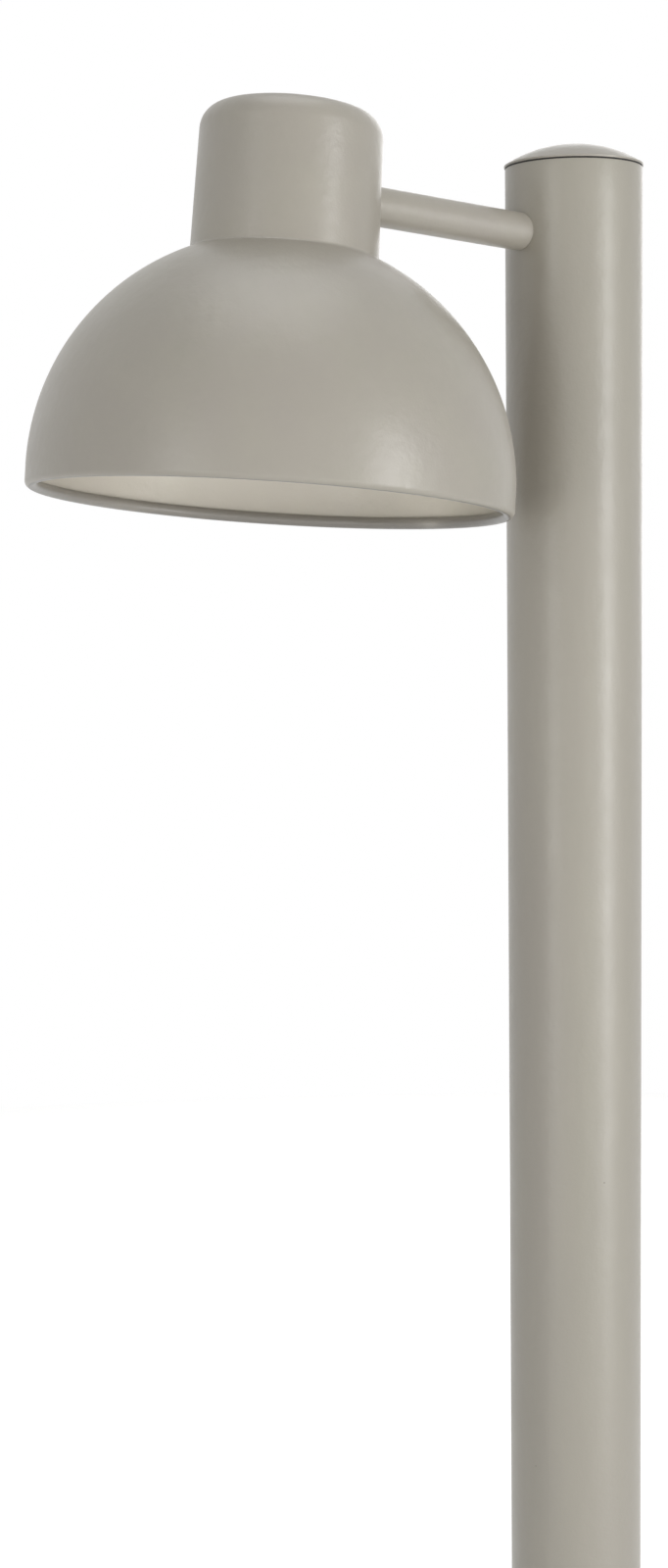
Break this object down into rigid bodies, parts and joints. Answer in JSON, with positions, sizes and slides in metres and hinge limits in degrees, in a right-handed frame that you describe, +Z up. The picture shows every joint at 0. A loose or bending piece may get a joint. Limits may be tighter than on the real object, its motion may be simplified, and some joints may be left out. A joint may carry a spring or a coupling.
{
  "type": "garden post light",
  "caption": "Garden post light: a round tube post on a bolt-down base plate, with a short side arm that carries a domed metal shade over a glass-covered lamp.",
  "frame": {"origin": "middle of the anchor bolt circle on the base plate's underside, on the post's axis", "axes": "+Z up along the post; the arm and shade reach out towards -X"},
  "size_m": [0.3401, 0.2, 0.8528],
  "materials": {
    "post_paint": "satin warm grey powder coat over steel tube",
    "shade_paint": "the same warm grey powder coat over spun metal, inside and out",
    "zinc": "bright zinc plate",
    "cast": "plain die-cast surface",
    "brass": "turned",
    "rubber": "smooth black",
    "white_plastic": "fine matte",
    "holder_plastic": "satin white",
    "glass": "clear pressed glass",
    "bulb": "opal globe on a plated screw cap",
    "lead": "silicone sleeve"
  },
  "bodies": {
    "root": {"base_plate": "post_paint", "base_weld": "post_paint", "pole_tube": "post_paint", "pole_cap": "post_paint", "cap_seal": "rubber", "cap_o_ring": "rubber", "arm_tube": "post_paint", "arm_insert_pole": "zinc", "arm_insert_head": "zinc", "pole_nipple": "zinc", "pole_saddle": "cast", "pole_washer": "zinc", "pole_nut": "zinc", "terminal_strip": "zinc", "terminal_block": "white_plastic", "terminal_inserts": "brass", "terminal_screws": "zinc", "block_screws": "zinc", "cable_clamp": "zinc", "clamp_screws": "zinc", "earth_screw": "brass", "earth_washer": "zinc", "shade": "shade_paint", "neck_saddle": "cast", "head_nipple": "zinc", "head_washer": "zinc", "head_nut": "zinc", "lamp_bracket": "zinc", "holder_nipple": "zinc", "holder_nut": "zinc", "lampholder": "holder_plastic", "holder_shell": "brass", "holder_contact": "brass", "glass_collar": "cast", "collar_ring": "holder_plastic", "jar_seal": "rubber", "glass_jar": "glass", "bulb": "bulb", "lamp_lead": "lead"}
  },
  "joints": []
}
